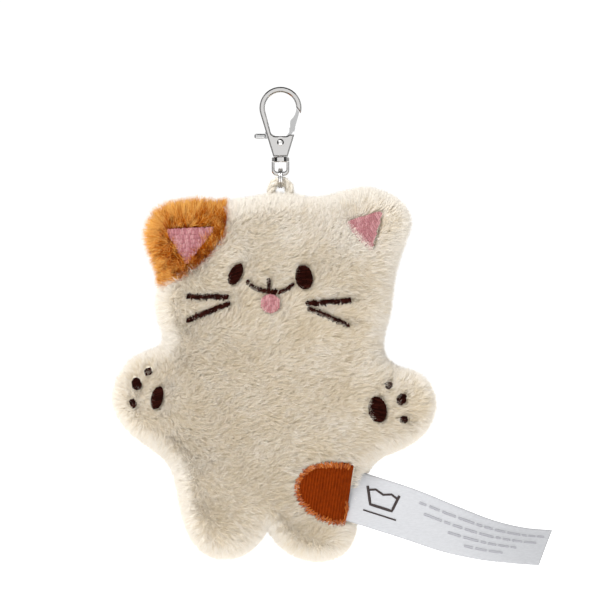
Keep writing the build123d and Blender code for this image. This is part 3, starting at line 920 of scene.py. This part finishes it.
def patch_rim(tree, middle, high):
    """Even stations along the patch's curved edge, two to a zigzag, from its top right corner round the left
    to its lower right corner."""
    top_corner = math.degrees(math.atan2(high[2] - middle[1], high[0] - middle[0])) + RIM_TOP_TURN
    foot_corner = 360 - top_corner + RIM_FOOT_TURN
    rim = []
    for angle in np.radians(np.linspace(top_corner, foot_corner, RIM_STATIONS)):
        along = np.array([math.cos(angle), math.sin(angle)])
        runs = covered_runs(tree, middle, along, RIM_SEARCH, RIM_STEP)
        rim.append(middle + along * runs[-1][1])
    rim = np.array(rim)
    travelled = np.concatenate([[0], np.cumsum(np.linalg.norm(np.diff(rim, axis=0), axis=1))])
    stitch_count = int(travelled[-1] / ZIGZAG_PITCH)
    even = np.linspace(0, travelled[-1], 2 * stitch_count + 1)
    return np.stack([np.interp(even, travelled, rim[:, axis]) for axis in (0, 1)], axis=1)


def make_zigzag(skin_tree, tree, low, high):
    """Two-ply thread that goes in and out across the patch's curved edge."""
    middle = np.array([high[0] - PATCH_MIDDLE, (low[2] + high[2]) / 2])
    rim = patch_rim(tree, middle, high)
    random = np.random.default_rng(31)
    threads = thread_materials("border_thread", ["9C4A10", "8A3D08", "B4641E"], roughness=0.6, sheen=0.0,
                               specular=0.25)
    depths = np.where(np.arange(len(rim)) % 2 == 0, ZIGZAG_OUT, ZIGZAG_IN)
    spots = rim + unit(middle[None, :] - rim) * depths[:, None]
    spots += random.normal(0, ZIGZAG_SCATTER, spots.shape)
    bundle = Bundle()
    for a, b in zip(spots[:-1], spots[1:]):
        for ply in (-ZIGZAG_PLY, ZIGZAG_PLY):
            thread(bundle, skin_tree, a + ply, b + ply, PATCH_LIFT + 0.25 * MM, ZIGZAG_RADIUS,
                   random.integers(len(threads)))
    border = bundle.build("patch_zigzag", threads)
    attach(border, "plush")
    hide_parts("patch_border_stitching")


def make_hip_patch(skin_tree):
    tree = node_tree("hip_patch", "patch_border_stitching")
    boxes = np.array([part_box("hip_patch"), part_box("patch_border_stitching")])
    low, high = boxes[:, 0].min(axis=0), boxes[:, 1].max(axis=0)
    make_patch_cloth(skin_tree, tree, low, high)
    make_zigzag(skin_tree, tree, low, high)


# -------------------- care label
def smooth_curve(points, share):
    """Points on a smooth curve through evenly numbered points; share runs from 0 to 1."""
    points = np.asarray(points, float)
    padded = np.concatenate([[2 * points[0] - points[1]], points, [2 * points[-1] - points[-2]]])
    place = np.asarray(share) * (len(points) - 1)
    cell = np.minimum(place.astype(int), len(points) - 2)
    t = (place - cell)[:, None]
    p0, p1, p2, p3 = (padded[cell + i] for i in range(4))
    return 0.5 * (2 * p1 + (p2 - p0) * t + (2 * p0 - 5 * p1 + 4 * p2 - p3) * t ** 2
                  + (3 * p1 - p0 - 3 * p2 + p3) * t ** 3)


def label_point(u, v):
    """A place on the label: u from the seam to the free end, v from the lower edge to the top."""
    top, foot = smooth_curve(LABEL_TOP, u) * MM, smooth_curve(LABEL_FOOT, u) * MM
    return foot * (1 - v[:, None]) + top * v[:, None]


def make_label():
    u, v = np.meshgrid(np.linspace(0, 1, LABEL_COLUMNS), np.linspace(0, 1, LABEL_ROWS), indexing="ij")
    points = label_point(u.ravel(), v.ravel())
    front_faces = grid_quads(LABEL_COLUMNS, LABEL_ROWS)[:, [0, 3, 2, 1]]
    satin = principled("label_satin", linear("B5B6B9"), roughness=0.5, sheen=0.1)
    grain = add_noise_colour(satin, linear("B1B2B5"), linear("B9BABD"), scale=700, stretch=(1, 1, 6))
    add_bump(satin, grain.outputs["Fac"], strength=0.25, distance=0.1 * MM)
    label = mesh_from_arrays("care_label_sheet", points, front_faces, [satin], smooth=True)
    solid = label.modifiers.new("thickness", "SOLIDIFY")
    solid.thickness = LABEL_THICKNESS
    apply_modifiers(label)
    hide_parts("care_label")
    return label


def print_line(bundle, shape, centre, size, width, slot):
    """A raised line of ink through the corners of a shape, given in a square from -1 to 1."""
    corners = [np.array(corner, float) for corner in shape]
    spots = []
    for a, b in zip(corners[:-1], corners[1:]):
        spots += [a + (b - a) * t for t in np.linspace(0, 1, 6, endpoint=False)]
    spots = np.array(spots + [corners[-1]])
    u = centre[0] + spots[:, 0] * size * (LABEL_FLAT[0] / LABEL_FLAT[1])
    v = centre[1] + spots[:, 1] * size
    step = 0.002
    along = label_point(np.clip(u + step, 0, 1), v) - label_point(np.clip(u - step, 0, 1), v)
    upward = label_point(u, v + step) - label_point(u, v - step)
    out = unit(np.cross(along, upward))
    out *= -np.sign(out[:, 1:2])
    bundle.add(*tube(label_point(u, v) + out * PRINT_LIFT, width / 2, sides=6, flatness=0.25), slot)


def print_symbols():
    """A plain wash-tub sign over a bar, and four rows of plain dashes."""
    inks = [principled("label_ink_dark", linear("241512"), roughness=0.6),
            principled("label_ink_grey", linear("9C9CA1"), roughness=0.7)]
    dark, grey = 0, 1
    tub = [(-1, 0.7), (-0.7, -0.8), (0.7, -0.8), (1, 0.7)]
    wave = [(-0.95, 0.35), (-0.5, 0.6), (0, 0.35), (0.5, 0.6), (0.95, 0.35)]
    bar = [(-1, 0), (1, 0)]
    bundle = Bundle()
    print_line(bundle, tub, SIGN_CENTRE, SIGN_SIZE, 0.9 * MM, dark)
    print_line(bundle, wave, SIGN_CENTRE, SIGN_SIZE, 0.7 * MM, dark)
    print_line(bundle, bar, BAR_CENTRE, BAR_SIZE, 0.5 * MM, dark)
    for row, (height, place, end) in enumerate(DASH_ROWS):
        number = 0
        while place < end:
            length = min(DASH_SHORTEST + DASH_STEP * ((number * 5 + row * 3) % 4), end - place)
            size = length / 2 * LABEL_FLAT[1] / LABEL_FLAT[0]
            print_line(bundle, bar, (place + length / 2, height), size, 0.75 * MM, grey)
            place += length + DASH_GAP
            number += 1
    ink_piece = bundle.build("label_print", inks)
    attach(ink_piece, "label")


# -------------------- cord
def cord_path():
    """The cord's middle line, up one leg, round the bend and down the other, and its length."""
    low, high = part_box("cord_loop")
    middle_x = (low.x + high.x) / 2
    bend = (high.x - low.x - CORD_DIAMETER) / 2
    bend_z = high.z - CORD_DIAMETER / 2 - bend
    leg = bend_z - low.z
    total = 2 * leg + math.pi * bend
    points = []
    for travelled in np.linspace(0, total, CORD_STATIONS):
        angle = math.pi - np.clip((travelled - leg) / bend, 0, math.pi)
        below = max(leg - travelled, travelled - leg - math.pi * bend, 0)
        points.append((middle_x + bend * math.cos(angle), 0, bend_z + bend * math.sin(angle) - below))
    return np.array(points), total


def make_cord():
    line, total = cord_path()
    along = unit(np.gradient(line, axis=0))
    side = np.tile(np.array([0.0, 1.0, 0.0]), (CORD_STATIONS, 1))
    up = unit(np.cross(along, side))
    travelled = np.linspace(0, total, CORD_STATIONS)

    def ring_point(turn):
        """The direction at an angle round the cord, at each station."""
        return np.cos(turn)[:, None] * side + np.sin(turn)[:, None] * up

    yarns = thread_materials("cord_yarn", ["E6DFD2", "EEE8DC", "DCD3C3"], roughness=0.75, sheen=0.3)
    bundle = Bundle()
    for strand in range(CORD_STRANDS):
        turn = 2 * math.pi * (travelled / CORD_TWIST_PITCH + strand / CORD_STRANDS)
        centre = line + CORD_STRAND_OFFSET * ring_point(turn)
        for yarn in range(CORD_YARNS):
            spin = 2 * math.pi * (-travelled / YARN_TWIST_PITCH + yarn / CORD_YARNS) + turn
            spot = centre + YARN_OFFSET * ring_point(spin)
            bundle.add(*tube(spot, YARN_RADIUS, sides=5), yarn % len(yarns))
        bundle.add(*tube(centre, CORE_RADIUS, sides=8), len(yarns) - 1)
    cord = bundle.build("cord_twist", yarns)

    random = np.random.default_rng(41)
    place = random.integers(2, len(line) - 2, FUZZ_STRANDS)
    turn = random.uniform(0, 2 * math.pi, (FUZZ_STRANDS, 1))
    radial = np.cos(turn) * side[place] + np.sin(turn) * up[place]
    roots = line[place] + FUZZ_OFFSET * radial + random.normal(0, 0.05, (FUZZ_STRANDS, 3)) * MM
    lie = unit(along[place] + random.normal(0, 0.6, (FUZZ_STRANDS, 3)))
    lengths = random.uniform(0.7, 1.5, FUZZ_STRANDS) * MM
    lift = random.uniform(0.3, 0.8, FUZZ_STRANDS)
    tones = random.integers(0, len(yarns), FUZZ_STRANDS)
    fuzz = strand_mesh("cord_fuzz", roots, radial, lie, lengths, lift, tones, yarns, 2, random, FUZZ_WIDTH)
    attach(fuzz, "plush")
    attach(cord, "plush")
    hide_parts("cord_loop")


# -------------------- metal
def make_metal():
    """Plated finishes for the CAD's own hardware."""
    for name, colour, smoothest, roughest, grain_scale, nodes in METALS:
        metal = principled(name, colour, roughness=(smoothest + roughest) / 2, metallic=1.0)
        if roughest > smoothest:
            add_roughness_noise(metal, smoothest, roughest, grain_scale)
        for node in nodes:
            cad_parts[node].data.materials[0] = metal


# -------------------- studio
def make_floor():
    """A pale floor that glows a little, so that it is as white as the backdrop."""
    z = CAD_BOX[0].z - FLOOR_DROP
    corners = np.array([(-FLOOR_REACH, -FLOOR_REACH, z), (FLOOR_REACH, -FLOOR_REACH, z),
                        (FLOOR_REACH, FLOOR_REACH, z), (-FLOOR_REACH, FLOOR_REACH, z)])
    paper = principled("floor_paper", (0.93, 0.93, 0.93), roughness=0.95, specular=0.1)
    inputs = paper.node_tree.nodes["Principled BSDF"].inputs
    inputs["Emission Color"].default_value = (1, 1, 1, 1)
    inputs["Emission Strength"].default_value = FLOOR_GLOW
    mesh_from_arrays("floor", corners, np.array([[0, 1, 2, 3]]), [paper])


def make_flags():
    """The dark cards, which only glossy rays see."""
    black = principled("flag_black", (FLAG_BLACK,) * 3, roughness=0.95, specular=0.0)
    grey = principled("flag_grey", (FLAG_GREY,) * 3, roughness=0.95, specular=0.0)

    def upright(x, front, rear):
        low, high = -FLAG_REACH, FLAG_REACH
        return [(x, front, low), (x, rear, low), (x, rear, high), (x, front, high)]

    cards = {
        "left_front": (upright(-FLAG_AWAY, -FLAG_REACH, FLAG_SPLIT), black),
        "right_front": (upright(FLAG_AWAY, -FLAG_REACH, FLAG_SPLIT), black),
        "left_rear": (upright(-FLAG_AWAY, FLAG_SPLIT, FLAG_REACH), grey),
        "right_rear": (upright(FLAG_AWAY, FLAG_SPLIT, FLAG_REACH), grey),
        "over": ([(-FLAG_REACH, -FLAG_REACH, FLAG_AWAY), (FLAG_REACH, -FLAG_REACH, FLAG_AWAY),
                  (FLAG_REACH, FLAG_REACH, FLAG_AWAY), (-FLAG_REACH, FLAG_REACH, FLAG_AWAY)], black),
    }
    for name, (card, cloth) in cards.items():
        flag = mesh_from_arrays(f"flag_{name}", np.array(card), np.array([[0, 1, 2, 3]]), [cloth])
        flag.visible_camera = False
        flag.visible_diffuse = False
        flag.visible_shadow = False
        flag.visible_transmission = False


def make_world():
    """A white world, dimmer for the light that diffuse surfaces receive than as it is seen."""
    world = bpy.data.worlds.new("studio")
    bpy.context.scene.world = world
    world.use_nodes = True
    tree = world.node_tree
    background = tree.nodes["Background"]
    background.inputs["Color"].default_value = (1, 1, 1, 1)
    path = tree.nodes.new("ShaderNodeLightPath")
    level = tree.nodes.new("ShaderNodeMapRange")
    level.inputs["To Min"].default_value = BACKDROP_LIGHT
    level.inputs["To Max"].default_value = AMBIENT_LIGHT
    tree.links.new(path.outputs["Is Diffuse Ray"], level.inputs["Value"])
    tree.links.new(level.outputs["Result"], background.inputs["Strength"])


def make_lamps():
    """Square area lamps aimed at the toy's middle."""
    middle = (CAD_BOX[0] + CAD_BOX[1]) / 2
    for name, place, size, watts in LAMPS:
        light = bpy.data.lights.new(name, "AREA")
        light.shape = "SQUARE"
        light.size = size
        light.energy = watts
        lamp = bpy.data.objects.new(name, light)
        lamp.location = place
        lamp.rotation_mode = "QUATERNION"
        lamp.rotation_quaternion = (middle - Vector(place)).to_track_quat("-Z", "Y")
        bpy.context.scene.collection.objects.link(lamp)


def make_camera():
    camera = bpy.data.cameras.new("camera")
    camera.sensor_width = SENSOR_WIDTH
    camera.lens = LENS
    eye = bpy.data.objects.new("camera", camera)
    eye.location = (VIEW_CENTRE[0], -VIEW_DISTANCE, VIEW_CENTRE[1])
    eye.rotation_euler = (math.pi / 2, 0, 0)
    bpy.context.scene.collection.objects.link(eye)
    bpy.context.scene.camera = eye


def make_studio():
    make_floor()
    make_flags()
    make_world()
    make_lamps()
    bpy.context.scene.view_settings.view_transform = "Standard"
    make_camera()


# -------------------- the toy
make_studio()
skin = make_skin()
skin_tree = search_tree(skin.data)
dress_skin(skin)
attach(skin, "plush")
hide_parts("front_panel", "back_panel", "ear_panel_front", "ear_panel_back", "stuffing")
make_fur(skin)
make_embroidery(skin_tree)
make_hip_patch(skin_tree)
label = make_label()
print_symbols()
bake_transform(label)
make_cord()
make_metal()
